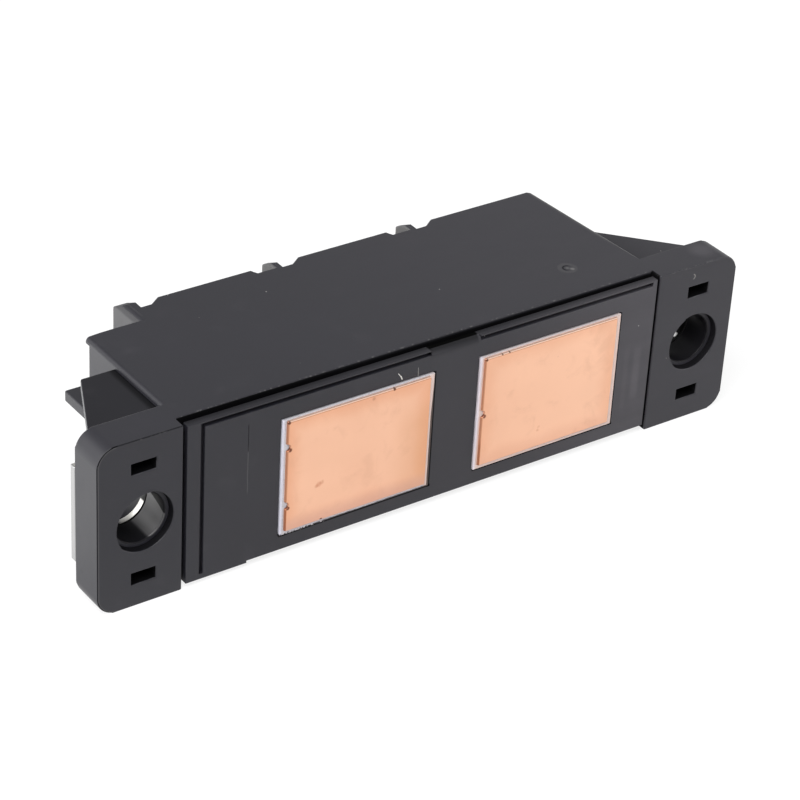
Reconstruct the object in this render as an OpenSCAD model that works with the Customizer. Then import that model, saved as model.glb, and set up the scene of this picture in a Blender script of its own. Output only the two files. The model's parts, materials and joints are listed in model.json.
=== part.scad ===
// Dual diode power module in a three-terminal isolated package, lying on its long side.
// Each piece is drawn upright: X runs along the length, Y across the width, and Z = 0 is the
// heat-sink face of the flanges. lie_on_side() then turns it so that the heat-sink face looks to -Y.

/* [Overall] */
// Distance between the two mounting holes
hole_spacing = 80; // [78:0.5:84]
// Distance from a mounting hole to the end of its flange
hole_to_end = 6; // [5.5:0.25:8]
// Width of the flanges and of the body
module_w = 22.4; // [22:0.2:26]
// Height of the terminal faces over the heat-sink face
terminal_h = 30; // [29.5:0.25:34]

/* [Flanges] */
// Thickness of a flange
flange_t = 5; // [4:0.25:7]
// Radius of a flange's outer corners
flange_corner_r = 2.5; // [1:0.25:3]
// Chamfer along a flange's outer edges
flange_chamfer = 0.1; // [0.1:0.05:0.6]
// Distance from the left hole to the inner edge of its flange
left_flange_inner = 5.1; // [4.5:0.1:6]
// Distance from the right hole to the inner edge of its flange
right_flange_inner = 6.5; // [5:0.1:7]

/* [Mounting holes and plates] */
// Diameter of a mounting hole
hole_d = 6.5; // [5.5:0.1:7]
// Diameter of the counterbore on the heat-sink side
counterbore_d = 7.8; // [7.3:0.1:9]
// Depth of that counterbore
counterbore_depth = 1; // [0.5:0.1:2]
// Thickness of a metal mounting plate
plate_t = 1; // [0.6:0.1:1.5]
// Width of a mounting plate
plate_w = 12.8; // [11:0.2:13]
// Gap between a plate and the end wall beside it
plate_gap = 0.6; // [0.2:0.1:1]
// Length of a flange slot, along the module
ear_slot_len = 3.2; // [2.4:0.1:4]
// Width of a flange slot, across the module
ear_slot_w = 1.5; // [1.4:0.05:1.8]
// Distance from a hole's axis to the middle of a flange slot
ear_slot_out = 7.45; // [7.4:0.05:8]
// Clearance of a plate's ear in its slot
ear_clear = 0.2; // [0.1:0.05:0.3]
// How far an ear's end stays back from the heat-sink face
ear_back = 3; // [1:0.25:3.5]

/* [Body] */
// Thickness of the side and end walls
wall = 1.6; // [1.2:0.1:2]
// Height at which the walls start over the heat-sink face
wall_foot = 1.75; // [1.5:0.05:2.25]
// Height of the side walls beside the terminals
side_h = 26.3; // [25.5:0.1:28]
// Height of the deck that carries the terminal pillars
deck_h = 19.5; // [18:0.25:21]
// Thickness of the deck
deck_t = 2; // [1.5:0.25:3]
// Height of the side walls at the low left end
low_side_h = 22.3; // [21.5:0.1:24]
// How much lower the left end wall is than those side walls
low_end_drop = 0.8; // [0.4:0.1:1.2]
// Width of the lip that each of those side walls keeps beside the end wall
end_lip = 0.9; // [0.7:0.1:1.4]
// Radius of the body's upright edges at the left end
end_edge_r = 0.6; // [0.3:0.1:0.7]
// How far the right end wall's foot stands out over its flange
right_foot_out = 0.6; // [0.2:0.1:1]
// How far the right end wall leans in from foot to top
right_lean = 1.3; // [0.5:0.1:2]
// Size of the cut at that wall's top edge
end_corner = 0.4; // [0.2:0.1:0.8]
// Width of the ledge inside the walls that the base frame seats on
ledge_w = 0.8; // [0.5:0.1:1]

/* [Barriers and ribs] */
// Thickness of a barrier between two terminals
barrier_t = 1; // [0.9:0.05:1.3]
// Thickness of the left barrier, which closes the raised part of the body
end_barrier_t = 2.05; // [1.8:0.05:2.4]
// Height of the barriers
barrier_h = 28.5; // [28:0.1:29]
// Distance from a barrier's right face to the middle of its terminal
barrier_off = 10.65; // [10.4:0.05:11]
// Radius of the left upright edges of a barrier between two terminals
barrier_edge_r = 0.45; // [0.2:0.05:0.6]
// Radius of the left barrier's left upright edges
end_barrier_edge_r = 1.1; // [0.5:0.1:1.3]
// How far a barrier's slanted ends lean in
barrier_slant_w = 1.1; // [0.6:0.1:1.6]
// Height of those slanted ends
barrier_slant_h = 2.1; // [1.5:0.1:2.7]
// Depth of the notch that each barrier stands in
notch_depth = 1.1; // [0.6:0.1:1.6]
// Distance from a barrier's right face to the left end of its notch
notch_left = 3.95; // [3.7:0.05:4.3]
// Distance from a barrier's right face to the right end of its notch
notch_right = 2.85; // [2.6:0.05:3.2]
// Length of the slope on the notch's right side
notch_slope = 1.5; // [0.8:0.1:1.8]
// Length of the slope on the notch's left side
notch_step = 0.3; // [0.2:0.1:0.8]
// Thickness of the rib in the middle of the low end
rib_t = 1.5; // [1:0.1:2]
// Height of that rib
rib_h = 28; // [25:0.25:29]
// How far that rib stays back from the left end wall's face
rib_back = 0.3; // [0.1:0.1:0.6]
// Thickness of a gusset over a flange
gusset_t = 1.3; // [1:0.1:1.8]
// How far a gusset stays back from the side face
gusset_back = 0.7; // [0.4:0.1:1]
// Height of the gussets
gusset_h = 15.4; // [12:0.2:17]
// Length of a left gusset's foot on the flange
left_gusset_foot = 9.4; // [7:0.2:10]
// Length of a left gusset's level top
left_gusset_top = 4.5; // [3:0.25:6]
// Length of a right gusset's foot on the flange
right_gusset_foot = 9; // [7:0.2:10]

/* [Terminals] */
// Distance from the right hole to the nearest terminal
terminal_from_hole = 15; // [14.5:0.25:16]
// Distance between two terminals
terminal_pitch = 20; // [19.5:0.25:21]
// Thickness of a terminal strip
strip_t = 1; // [0.8:0.1:1.2]
// Width of a terminal strip
strip_w = 10.6; // [10:0.1:12]
// Side of a square terminal pillar
pillar_side = 13; // [12.5:0.1:13.4]
// Radius of a pillar's upright edges
pillar_r = 1; // [0.5:0.1:1.5]
// Clearance between a strip and its pillar or slot
strip_clear = 0.15; // [0.1:0.05:0.25]
// Inside radius of a strip's bends
bend_r = 0.8; // [0.5:0.1:1]
// Radius of the corners at a strip's free end
strip_corner_r = 1; // [0.5:0.1:2]
// Width of the legs of terminals 1 and 3
leg_w = 10; // [8:0.25:10.5]
// Half of the gap between terminal 2's leg and the clip beside it
leg_apart = 0.7; // [0.5:0.1:1]
// How far the legs of terminals 1 and 3 step in, so that their feet clear the base frame
leg_step = 2.8; // [2.7:0.1:3.2]
// Height of that step
leg_step_h = 6; // [5.5:0.25:7]
// Length of a strip's foot on its track
foot_len = 4; // [3:0.25:4.5]
// Depth under the gel's surface at which terminal 2 is narrowed
narrow_depth = 2; // [1:0.25:3]

/* [Fasteners] */
// Thread diameter of the terminal screws
screw_d = 5; // [4.5:0.1:5.4]
// Length of a terminal screw under its head
screw_len = 10; // [9:0.5:11]
// Diameter of a screw head
head_d = 9.5; // [8.5:0.1:10]
// Height of a screw head
head_h = 3.3; // [2.8:0.1:4]
// Size of the chamfer round a head's top
head_crown = 1.15; // [0.6:0.05:1.4]
// Length of each arm pair of the cross recess
recess_len = 5; // [4:0.1:6]
// Width of the cross recess's arms
recess_w = 1.15; // [0.8:0.05:1.5]
// Depth of the cross recess
recess_depth = 2; // [1.2:0.1:2.4]
// Size of the chamfer at a screw's tip
tip_chamfer = 0.6; // [0.3:0.05:1]
// Room under a screw's tip
tip_room = 1; // [0.5:0.1:2]
// Width of a nut across its flats
nut_flats = 8; // [7.5:0.1:9]
// Height of a nut
nut_h = 4; // [3.2:0.1:4.5]
// Clearance round a nut in its pocket
nut_clear = 0.1; // [0.05:0.05:0.2]
// Clearance between a screw's thread and its nut
thread_clear = 0.02; // [0.01:0.01:0.05]
// Clearance of the screw holes in strips, washers and pillars
screw_clear = 0.25; // [0.1:0.05:0.4]
// Outside diameter of a flat washer
washer_d = 10; // [9:0.1:11]
// Thickness of a flat washer
washer_t = 1; // [0.6:0.1:1.4]
// Outside diameter of a spring washer
spring_d = 9.2; // [8.4:0.1:9.8]
// Thickness of a spring washer
spring_t = 1.2; // [0.8:0.1:1.6]
// Width of a spring washer's split
spring_split = 0.8; // [0.4:0.1:1.2]

/* [Base frame] */
// Thickness of the base frame's rim
rim_t = 1.05; // [0.8:0.05:1.3]
// Total height of the base frame
frame_h = 3; // [2.5:0.1:3.5]
// Width of the base frame
frame_w = 21.5; // [20.5:0.1:21.7]
// How far the base frame sits off the middle of the width
frame_shift = 0.15; // [0:0.05:0.2]
// How much the rim's lower edge steps in past its left end
rim_step = 0.3; // [0.1:0.05:0.4]
// Distance from the frame's left end to that step
rim_step_in = 8.3; // [7:0.1:10]
// Gap between the base frame and the left flange
frame_gap_left = 0.5; // [0.3:0.05:0.8]
// Gap between the base frame and the right flange
frame_gap_right = 0.4; // [0.2:0.05:0.6]
// Clearance between the base frame and the walls round it
frame_clear = 0.1; // [0.05:0.05:0.2]
// Width of the groove along the rim
groove_w = 0.5; // [0.3:0.05:0.7]
// Depth of that groove
groove_depth = 0.6; // [0.3:0.05:0.8]
// Width of the thin lip outside the long groove
lip_w = 0.25; // [0.2:0.05:0.5]
// Distance from the frame's left end to its cross groove
cross_groove_in = 1.8; // [1.2:0.1:2.2]
// Distance from the frame's right end to the end of the long groove
groove_end_in = 0.7; // [0.4:0.1:1.2]
// Length of the notch in the lip
lip_notch_len = 7.2; // [5:0.2:8]
// Distance from the middle terminal to the middle of that notch
lip_notch_off = 2.4; // [1.5:0.1:3]
// How far the face falls away inside that notch, at the frame's edge
lip_notch_drop = 0.5; // [0.3:0.05:0.7]

/* [Ceramic tiles and chips] */
// Length of a ceramic tile
tile_len = 21.3; // [20.5:0.1:22]
// Width of a ceramic tile
tile_w = 15.9; // [15:0.1:16.5]
// Thickness of a ceramic tile
ceramic_t = 0.63; // [0.5:0.01:0.8]
// Thickness of the copper on each side of a tile
copper_t = 0.3; // [0.2:0.05:0.4]
// How far a tile's ceramic stands out of the base frame
tile_proud = 0.2; // [0.1:0.05:0.3]
// Clearance round a tile in its pocket
tile_clear = 0.1; // [0.05:0.05:0.15]
// Width of the ledge that a tile's border seats on
tile_ledge = 0.5; // [0.3:0.05:0.6]
// Border of bare ceramic at the outer copper's left and right ends
outer_end_border = 0.6; // [0.4:0.05:1.2]
// Border of bare ceramic along the outer copper's long sides
outer_side_border = 0.35; // [0.35:0.05:1.2]
// How far the outer copper sits to the left of its tile's middle
outer_off_left = 0.1; // [0:0.05:0.3]
// How far the outer copper sits off its tile's middle across the width
outer_off_side = 0.2; // [0:0.05:0.3]
// Border of bare ceramic round the inner track
inner_border = 1.5; // [1.2:0.1:1.8]
// How far the tiles sit off the middle of the width
tile_shift = 0.2; // [0:0.05:0.3]
// Distance from terminal 1 to the middle of the left tile
left_tile_off = 3.85; // [3.5:0.05:4]
// Distance from terminal 3 to the middle of the right tile
right_tile_off = 8.15; // [7.8:0.05:8.3]
// Radius of the etched nicks in the outer copper's left edge
nick_r = 0.45; // [0.3:0.05:0.6]
// Place of the left copper's first nick across the width
left_nick_a = -4; // [-5:0.1:5]
// Place of the left copper's second nick across the width
left_nick_b = 4; // [-5:0.1:5]
// Place of the right copper's nick across the width
right_nick = 0.2; // [-5:0.1:5]
// Side of a diode chip
chip_side = 9; // [8:0.25:9.25]
// Thickness of a diode chip
chip_t = 0.4; // [0.3:0.05:0.5]
// Gap between terminal 1's foot and the left chip
left_chip_gap = 0.45; // [0.3:0.05:0.8]
// Gap between the right chip and terminal 3's leg
right_chip_gap = 2.5; // [2:0.1:3]
// Thickness of the clip between the tiles
clip_t = 0.8; // [0.6:0.1:1]
// Width of that clip
clip_w = 5; // [4:0.25:5.25]
// Height of the clip's bridge over the base frame
clip_rise = 1; // [0.8:0.1:1.5]
// Height of the silicone gel
gel_h = 9; // [8:0.25:12]

/* [Hidden] */
$fn = 48;
// Overlap of a cutting shape past the face that it cuts
cut = 0.5;
black = [0.12, 0.12, 0.13];
frame_black = [0.1, 0.1, 0.11];
ceramic_white = [0.8, 0.78, 0.82];
copper = [0.9, 0.62, 0.45];
nickel = [0.75, 0.74, 0.7];
zinc = [0.7, 0.71, 0.73];
silicon = [0.3, 0.31, 0.35];
gel_clear = [0.85, 0.88, 0.9, 0.4];

hole_x = hole_spacing / 2;
end_x = hole_x + hole_to_end;
half_w = module_w / 2;
left_x = -hole_x + left_flange_inner;
right_x = hole_x - right_flange_inner;
right_foot_x = right_x + right_foot_out;
low_end_h = low_side_h - low_end_drop;
terminals_x = [for (i = [-2:0]) hole_x - terminal_from_hole + i * terminal_pitch];
// Left and right faces of the barriers
barriers_right = [for (x = terminals_x) x - barrier_off];
barriers_left = [for (i = [0:2]) barriers_right[i] - (i == 0 ? end_barrier_t : barrier_t)];
notch_h = side_h - notch_depth;
roof_h = deck_h - deck_t;
// Right end wall's lean per millimetre of height
lean = right_lean / (side_h - flange_t);

inner_left = left_x + wall;
inner_right = right_x - wall;
inner_half = half_w - wall;

pillar_h = terminal_h - strip_t;
strip_mid_h = terminal_h - strip_t / 2;
riser_off = pillar_side / 2 + strip_clear + strip_t / 2;
spring_h = terminal_h + washer_t;
head_foot_h = spring_h + spring_t;
top_h = head_foot_h + head_h;
clear_hole_d = screw_d + 2 * screw_clear;

tile_out_h = -tile_proud;
tile_in_h = ceramic_t - tile_proud;
track_h = tile_in_h + copper_t;
chip_h = track_h + chip_t;
base_h = tile_out_h - copper_t;
left_tile_x = terminals_x[0] + left_tile_off;
right_tile_x = terminals_x[2] - right_tile_off;
// Distance from a terminal back to the middle of its leg
leg_off = riser_off - leg_step;
left_chip_x = terminals_x[0] - leg_off + foot_len + left_chip_gap + chip_side / 2;
right_chip_x = terminals_x[2] - leg_off - strip_t / 2 - right_chip_gap - chip_side / 2;

// Turns an upright piece on its side, with the middle of the height at Y = 0 and its lowest side at Z = 0
module lie_on_side() {
    translate([0, -(top_h + base_h) / 2, half_w])
        rotate([-90, 0, 0])
            children();
}

// Box from its low corner to its high corner
module block(low, high) {
    translate(low)
        cube(high - low);
}

// Rectangle with rounded corners, from its low corner to its high corner
module rounded(low, high, r) {
    translate([low.x + r, low.y])
        square([high.x - low.x - 2 * r, high.y - low.y]);
    translate([low.x, low.y + r])
        square([high.x - low.x, high.y - low.y - 2 * r]);
    for (x = [low.x + r, high.x - r], y = [low.y + r, high.y - r])
        translate([x, y])
            circle(r);
}

// Carries an outline drawn in X and Z across the width, from y0 to y1
module across(y0, y1) {
    translate([0, y1, 0])
        rotate([90, 0, 0])
            linear_extrude(y1 - y0)
                children();
}

// Carries an outline drawn in Y and Z along the length, from x0 to x1
module along(x0, x1) {
    translate([x0, 0, 0])
        rotate([90, 0, 90])
            linear_extrude(x1 - x0)
                children();
}

// Rectangle outline with its corners cut at 45 degrees
function chamfered(low, high, c) = [
    [low.x + c, low.y], [high.x - c, low.y], [high.x, low.y + c], [high.x, high.y - c],
    [high.x - c, high.y], [low.x + c, high.y], [low.x, high.y - c], [low.x, low.y + c]
];

// Flange from its inner edge to its outer end, both given as distances from the middle
module flange(inner, outer) {
    far = outer + 2 * flange_corner_r;
    intersection() {
        linear_extrude(flange_t)
            union() {
                rounded([inner, -half_w], [outer, half_w], flange_corner_r);
                translate([inner, -half_w])
                    square([flange_corner_r * 2, module_w]);
            }
        across(-module_w, module_w)
            polygon(chamfered([inner - far, 0], [outer, flange_t], flange_chamfer));
        along(0, far)
            polygon(chamfered([-half_w, 0], [half_w, flange_t], flange_chamfer));
    }
}

// Side wall seen from the side: low left end, then a notch at each barrier, then the leaning right end
module side_outline() {
    notches = [
        for (x = [barriers_right[1], barriers_right[2]], p = [
            [x - notch_left, side_h], [x - notch_left + notch_step, notch_h],
            [x + notch_right - notch_slope, notch_h], [x + notch_right, side_h]
        ]) p
    ];
    polygon(concat(
        [
            [left_x, wall_foot], [left_x, low_side_h], [barriers_left[0], low_side_h],
            [barriers_left[0], notch_h], [barriers_right[0] + notch_right - notch_slope, notch_h],
            [barriers_right[0] + notch_right, side_h]
        ],
        notches,
        right_end_points()
    ));
}

// Right end of the body seen from the side, from the top down: cut edge, leaning wall, foot on the flange
function right_end_points() = [
    [right_foot_x - right_lean - end_corner, side_h],
    [right_foot_x - right_lean + lean * end_corner, side_h - end_corner], [right_foot_x, flange_t],
    [right_foot_x, wall_foot + cut], [right_x, wall_foot + cut], [right_x, wall_foot]
];

// Middle of the body seen from the side: end walls up to the deck, with the right one up to the side walls
module middle_outline() {
    polygon(concat(
        [
            [left_x, wall_foot], [left_x, low_end_h], [left_x + wall, low_end_h],
            [left_x + wall, deck_h], [right_foot_x - wall - right_lean, deck_h],
            [right_foot_x - wall - right_lean, side_h]
        ],
        right_end_points()
    ));
}

// Barrier across the whole width, from its left to its right face, with ends that slant in at the top
module barrier(left, right) {
    foot = barrier_h - barrier_slant_h;
    top = half_w - barrier_slant_w;
    along(left, right)
        polygon([
            [-half_w, roof_h], [half_w, roof_h], [half_w, foot], [top, barrier_h], [-top, barrier_h],
            [-half_w, foot]
        ]);
}

// What is cut away to round both upright edges of a left-hand face at x, from height h up
module edge_cuts(x, h, r) {
    for (turn = [0, 1])
        mirror([0, turn, 0])
            translate([x, half_w, h])
                linear_extrude(terminal_h)
                    difference() {
                        translate([-cut, -r])
                            square(r + cut);
                        translate([r, -r])
                            circle(r);
                    }
}

// Walls of the body with the barriers, before what stands on them or is cut into them
module body_walls() {
    difference() {
        union() {
            across(-half_w, -inner_half)
                side_outline();
            across(inner_half, half_w)
                side_outline();
            across(-inner_half, inner_half)
                middle_outline();
            for (i = [0:2])
                barrier(barriers_left[i], barriers_right[i]);
        }
        edge_cuts(left_x, flange_t, end_edge_r);
        edge_cuts(barriers_left[0], low_side_h, end_barrier_edge_r);
        for (i = [1, 2])
            edge_cuts(barriers_left[i], notch_h, barrier_edge_r);
        block(
            [left_x - cut, -half_w + end_lip, low_end_h],
            [left_x + wall, half_w - end_lip, low_side_h + cut]
        );
    }
}

// Square pillar that carries a terminal, with its left top edge cut off under the strip's bend
module pillar(x) {
    low = x - pillar_side / 2;
    high = x + pillar_side / 2;
    intersection() {
        translate([0, 0, roof_h])
            linear_extrude(pillar_h - roof_h)
                rounded([low, -pillar_side / 2], [high, pillar_side / 2], pillar_r);
        across(-pillar_side, pillar_side)
            polygon([
                [low, roof_h], [high, roof_h], [high, pillar_h], [low + bend_r, pillar_h],
                [low, pillar_h - bend_r]
            ]);
    }
}

// Pocket for a nut, with the screw's clearance hole under it
module nut_pocket(x) {
    flats = nut_flats + 2 * nut_clear;
    pocket_h = pillar_h - nut_h - nut_clear;
    tip_h = head_foot_h - screw_len;
    translate([x, 0, pocket_h])
        cylinder(d = flats / cos(30), h = nut_h + nut_clear + cut, $fn = 6);
    translate([x, 0, tip_h - tip_room])
        cylinder(d = clear_hole_d, h = pocket_h + cut - tip_h + tip_room);
}

// Gusset plates over one flange, one at each side
module gussets(outline) {
    out = half_w - gusset_back;
    for (y = [-out, out - gusset_t])
        across(y, y + gusset_t)
            polygon(outline);
}

// Mounting hole with its counterbore and the two slots beside it
module flange_holes(x) {
    translate([x, 0, -cut]) {
        cylinder(d = hole_d, h = flange_t + 2 * cut);
        cylinder(d = counterbore_d, h = counterbore_depth + cut);
    }
    for (y = [-ear_slot_out, ear_slot_out])
        translate([x - ear_slot_len / 2, y - ear_slot_w / 2, -cut])
            cube([ear_slot_len, ear_slot_w, flange_t + 2 * cut]);
}

// Room inside the body: wide at the base frame, narrower above its ledge
module cavity() {
    block([inner_left, -inner_half, wall_foot - cut], [inner_right, inner_half, frame_h]);
    block(
        [inner_left + ledge_w, -inner_half + ledge_w, frame_h - cut],
        [inner_right - ledge_w, inner_half - ledge_w, roof_h]
    );
}

// Slot in the deck that a terminal strip comes up through
module strip_slot(x) {
    reach = strip_t / 2 + strip_clear;
    across_reach = strip_w / 2 + strip_clear;
    block(
        [x - riser_off - reach, -across_reach, roof_h - cut],
        [x - riser_off + reach, across_reach, deck_h + cut]
    );
}

module housing() color(black) lie_on_side() difference() {
    union() {
        flange(right_x, end_x);
        mirror([1, 0, 0])
            flange(-left_x, end_x);
        body_walls();
        for (x = terminals_x)
            pillar(x);
        block([left_x + rib_back, -rib_t / 2, roof_h], [barriers_right[0], rib_t / 2, rib_h]);
        gussets([
            [left_x + wall, flange_t - cut], [left_x + wall, gusset_h],
            [left_x - left_gusset_top, gusset_h], [left_x - left_gusset_foot, flange_t],
            [left_x - left_gusset_foot, flange_t - cut]
        ]);
        gussets([
            [right_x - wall, flange_t - cut], [right_x - wall, gusset_h],
            [right_foot_x - lean * (gusset_h - flange_t), gusset_h],
            [right_foot_x + right_gusset_foot, flange_t],
            [right_foot_x + right_gusset_foot, flange_t - cut]
        ]);
    }
    cavity();
    for (x = terminals_x) {
        nut_pocket(x);
        strip_slot(x);
    }
    for (x = [-hole_x, hole_x])
        flange_holes(x);
}

// Long groove and cross groove in the base frame's face
module rim_grooves(x0, x1, side_y) {
    long_y = side_y + lip_w;
    cross_x = x0 + cross_groove_in;
    block([cross_x, long_y, -cut], [x1 - groove_end_in, long_y + groove_w, groove_depth]);
    block(
        [cross_x, long_y, -cut],
        [cross_x + groove_w, side_y + frame_w - lip_w - groove_w, groove_depth]
    );
}

// Wedge that lets the face fall away to the edge inside the lip's notch
module lip_notch(side_y) {
    mid = terminals_x[1] - lip_notch_off;
    run = lip_w + groove_w;
    along(mid - lip_notch_len / 2, mid + lip_notch_len / 2)
        polygon([
            [side_y - cut, -cut], [side_y + run, -cut], [side_y + run, 0],
            [side_y - cut, lip_notch_drop * (run + cut) / run]
        ]);
}

// Pocket and window for one tile
module tile_window(x) {
    half = [tile_len / 2 + tile_clear, tile_w / 2 + tile_clear];
    hold = [tile_len / 2 - tile_ledge, tile_w / 2 - tile_ledge];
    translate([x, tile_shift, 0]) {
        block([-half.x, -half.y, -cut], [half.x, half.y, tile_in_h]);
        block([-hold.x, -hold.y, -cut], [hold.x, hold.y, frame_h + cut]);
    }
}

module base_frame() color(frame_black) lie_on_side() {
    x0 = left_x + frame_gap_left;
    x1 = right_x - frame_gap_right;
    side_y = -frame_w / 2 - frame_shift;
    mid = terminals_x[1] - lip_notch_off;
    difference() {
        union() {
            block([x0, side_y, 0], [x1, side_y + frame_w, rim_t]);
            block(
                [inner_left + frame_clear, -inner_half + frame_clear, rim_t - cut],
                [inner_right - frame_clear, inner_half - frame_clear, frame_h]
            );
        }
        difference() {
            rim_grooves(x0, x1, side_y);
            block(
                [mid - lip_notch_len / 2, side_y, -module_w],
                [mid + lip_notch_len / 2, side_y + lip_w + groove_w, module_w]
            );
        }
        lip_notch(side_y);
        block(
            [x0 + rim_step_in, side_y + frame_w - rim_step, -cut],
            [x1 + cut, side_y + frame_w + cut, rim_t + cut]
        );
        for (x = [left_tile_x, right_tile_x])
            tile_window(x);
    }
}

// Ceramic tile at x
module ceramic_tile(x) {
    color(ceramic_white) lie_on_side()
        translate([x, tile_shift, 0])
            block([-tile_len / 2, -tile_w / 2, tile_out_h], [tile_len / 2, tile_w / 2, tile_in_h]);
}

// Outer copper pad at x, with etched nicks at these places along its left edge
module base_copper(x, nicks) {
    half = [tile_len / 2 - outer_end_border, tile_w / 2 - outer_side_border];
    color(copper) lie_on_side()
        translate([x - outer_off_left, tile_shift - outer_off_side, 0])
            difference() {
                block([-half.x, -half.y, base_h], [half.x, half.y, tile_out_h]);
                for (y = nicks)
                    translate([-half.x, y, base_h - cut])
                        cylinder(r = nick_r, h = copper_t + 2 * cut);
            }
}

// Inner copper track at x
module copper_track(x) {
    half = [tile_len / 2 - inner_border, tile_w / 2 - inner_border];
    color(copper) lie_on_side()
        translate([x, tile_shift, 0])
            block([-half.x, -half.y, tile_in_h], [half.x, half.y, track_h]);
}

// Diode chip at x
module diode_chip(x) {
    color(silicon) lie_on_side()
        translate([x, tile_shift, 0])
            block([-chip_side / 2, -chip_side / 2, track_h], [chip_side / 2, chip_side / 2, chip_h]);
}

// Vector of length 1 along v
function unit(v) = v / norm(v);
// Points of one path corner, rounded by an arc of radius r on the middle line
function corner_points(a, b, c, r, steps = 6) =
    let (
        into = unit(b - a),
        out = unit(c - b),
        turn = sign(into.x * out.y - into.y * out.x),
        start = b - into * r,
        centre = start + turn * r * [-into.y, into.x]
    )
    [
        for (k = [0:steps])
            let (angle = turn * 90 * k / steps, arm = start - centre)
            centre + [
                arm.x * cos(angle) - arm.y * sin(angle), arm.x * sin(angle) + arm.y * cos(angle)
            ]
    ];
// Middle line with every right-angled corner rounded, by half of its shorter leg at most
function rounded_path(p, r) = concat(
    [p[0]],
    [
        for (i = [1:len(p) - 2])
            let (room = min(norm(p[i] - p[i - 1]), norm(p[i + 1] - p[i])) / 2)
            for (q = corner_points(p[i - 1], p[i], p[i + 1], min(r, room))) q
    ],
    [p[len(p) - 1]]
);
// Direction of a path at its point i
function heading(p, i) = unit(p[min(i + 1, len(p) - 1)] - p[max(i - 1, 0)]);
// Both sides of a path, as the outline of a strip of thickness t
function strip_points(p, t) = concat(
    [for (i = [0:len(p) - 1]) p[i] + t / 2 * [-heading(p, i).y, heading(p, i).x]],
    [for (i = [len(p) - 1:-1:0]) p[i] - t / 2 * [-heading(p, i).y, heading(p, i).x]]
);

// Strip bent along a path in X and Z, from y0 to y1 across the width
module bent_strip(path, t, y0, y1) {
    across(y0, y1)
        polygon(strip_points(rounded_path(path, bend_r + t / 2), t));
}

// Top of a terminal: level over its pillar, with a rounded free end, then down its left side to height low_h
module terminal_top(x, low_h) {
    free_end = [x + pillar_side / 2, strip_w / 2];
    difference() {
        intersection() {
            bent_strip(
                [[free_end.x, strip_mid_h], [x - riser_off, strip_mid_h], [x - riser_off, low_h]],
                strip_t, -strip_w / 2, strip_w / 2
            );
            linear_extrude(terminal_h + cut)
                rounded([x - 2 * riser_off, -free_end.y], free_end, strip_corner_r);
        }
        translate([x, 0, pillar_h - cut])
            cylinder(d = clear_hole_d, h = strip_t + 2 * cut);
    }
}

// Terminal whose leg steps in and stands on a track
module track_terminal(x) {
    foot_h = track_h + strip_t / 2;
    leg_x = x - leg_off;
    color(nickel) lie_on_side() {
        terminal_top(x, gel_h);
        bent_strip(
            [
                [x - riser_off, gel_h], [x - riser_off, leg_step_h], [leg_x, leg_step_h],
                [leg_x, foot_h], [leg_x + foot_len, foot_h]
            ],
            strip_t, tile_shift - leg_w / 2, tile_shift + leg_w / 2
        );
    }
}

module terminal_1() track_terminal(terminals_x[0]);

// The middle terminal, whose narrowed leg turns left and lies on the left chip
module terminal_2() color(nickel) lie_on_side() {
    x = terminals_x[1] - riser_off;
    foot_h = chip_h + strip_t / 2;
    narrow_h = gel_h - narrow_depth;
    terminal_top(terminals_x[1], narrow_h);
    bent_strip(
        [[x, narrow_h + strip_t], [x, foot_h], [left_chip_x - chip_side / 4, foot_h]],
        strip_t, -strip_w / 2, -leg_apart
    );
}

module terminal_3() track_terminal(terminals_x[2]);

// Clip from the left track, over the base frame's bar, to the right chip
module joining_clip() color(copper) lie_on_side() {
    low_h = track_h + clip_t / 2;
    chip_foot_h = chip_h + clip_t / 2;
    bridge_h = frame_h + clip_rise;
    up_x = left_tile_x + tile_len / 2 - inner_border - clip_t;
    down_x = right_chip_x - chip_side / 4;
    bent_strip(
        [
            [left_chip_x + chip_side / 2 + clip_t, low_h], [up_x, low_h], [up_x, bridge_h],
            [down_x, bridge_h], [down_x, chip_foot_h], [right_chip_x + chip_side / 4, chip_foot_h]
        ],
        clip_t, leg_apart, leg_apart + clip_w
    );
}

// Mounting plate on one flange: side is -1 at the left and 1 at the right
module mounting_plate(side, inner) {
    ear_len = ear_slot_len - 2 * ear_clear;
    ear_low = ear_slot_out - ear_slot_w / 2 + ear_clear;
    ear_high = ear_slot_out + ear_slot_w / 2 - ear_clear;
    color(zinc) lie_on_side()
        at_side(side)
            difference() {
                union() {
                    block([inner, -plate_w / 2, flange_t], [end_x, plate_w / 2, flange_t + plate_t]);
                    for (turn = [0, 180])
                        translate([hole_x, 0, 0])
                            rotate([0, 0, turn]) {
                                block(
                                    [-ear_len / 2, plate_w / 2 - cut, flange_t],
                                    [ear_len / 2, ear_high, flange_t + plate_t]
                                );
                                block(
                                    [-ear_len / 2, ear_low, ear_back],
                                    [ear_len / 2, ear_high, flange_t + plate_t]
                                );
                            }
                }
                translate([hole_x, 0, flange_t - cut])
                    cylinder(d = hole_d, h = plate_t + 2 * cut);
            }
}

// Mirrors a right-hand piece to the left where side is -1
module at_side(side) {
    if (side < 0)
        mirror([1, 0, 0])
            children();
    else
        children();
}

// Hexagon nuts, held in their pockets against the strips
module terminal_nuts() color(zinc) lie_on_side() {
    for (x = terminals_x)
        translate([x, 0, pillar_h - nut_h])
            difference() {
                cylinder(d = nut_flats / cos(30), h = nut_h, $fn = 6);
                translate([0, 0, -cut])
                    cylinder(d = screw_d + 2 * thread_clear, h = nut_h + 2 * cut);
            }
}

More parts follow.
